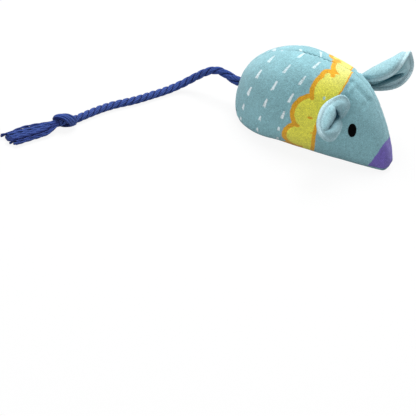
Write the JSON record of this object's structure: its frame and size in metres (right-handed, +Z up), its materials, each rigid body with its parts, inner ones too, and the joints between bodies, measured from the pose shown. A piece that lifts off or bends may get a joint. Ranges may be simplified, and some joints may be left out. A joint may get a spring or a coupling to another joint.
{
  "type": "catnip mouse",
  "caption": "Stuffed velour mouse for a cat to bat and carry, with rolled cloth ears that flop, stitched eyes, a knotted cord tail that swings and a catnip pouch inside.",
  "frame": {"origin": "on the belly's flat face, half way along the body and in its middle plane", "axes": "+X towards the nose, +Y towards the mouse's left, +Z up; the body stands on z = 0"},
  "size_m": [0.2075, 0.1744, 0.0651],
  "materials": {
    "velour": "short-pile velour, printed",
    "sewing_thread": "spun thread",
    "eye_thread": "satin stitch",
    "fibre": "loose polyester fibre",
    "pouch_cloth": "plain woven cotton",
    "herb": "crumbled dried leaf",
    "cord": "three-strand twisted cotton cord"
  },
  "bodies": {
    "body": {"right_side_panel": "velour", "left_side_panel": "velour", "belly_panel": "velour", "back_seam_thread": "sewing_thread", "belly_seam_thread": "sewing_thread", "stuffing": "fibre", "catnip_pouch_top": "pouch_cloth", "catnip_pouch_base": "pouch_cloth", "dried_catnip": "herb", "right_ear_tack": "sewing_thread", "left_ear_tack": "sewing_thread", "right_eye": "eye_thread", "left_eye": "eye_thread", "tail_root": "cord", "tail_whipping": "sewing_thread"},
    "right_ear": {"right_ear_front_panel": "velour", "right_ear_back_panel": "velour"},
    "left_ear": {"left_ear_front_panel": "velour", "left_ear_back_panel": "velour"},
    "tail": {"tail_cord": "cord", "tail_knot": "cord", "tail_tassel": "cord"}
  },
  "joints": [
    {"name": "right_ear_flop", "type": "hinge", "parent": "body", "child": "right_ear", "pos_m": [0.0186, -0.01601, 0.03783], "axis": [0, 0.3112, 0.9503], "range_deg": [-25, 45], "stiffness_Nm_per_rad": 0.001},
    {"name": "left_ear_flop", "type": "hinge", "parent": "body", "child": "left_ear", "pos_m": [0.0186, 0.01601, 0.03783], "axis": [0, 0.3112, -0.9503], "range_deg": [-45, 25], "stiffness_Nm_per_rad": 0.001},
    {"name": "tail_swing", "type": "hinge", "parent": "body", "child": "tail", "pos_m": [-0.0553, 0, 0.0165], "axis": [0, 0, 1], "range_deg": [-75, 30]}
  ]
}
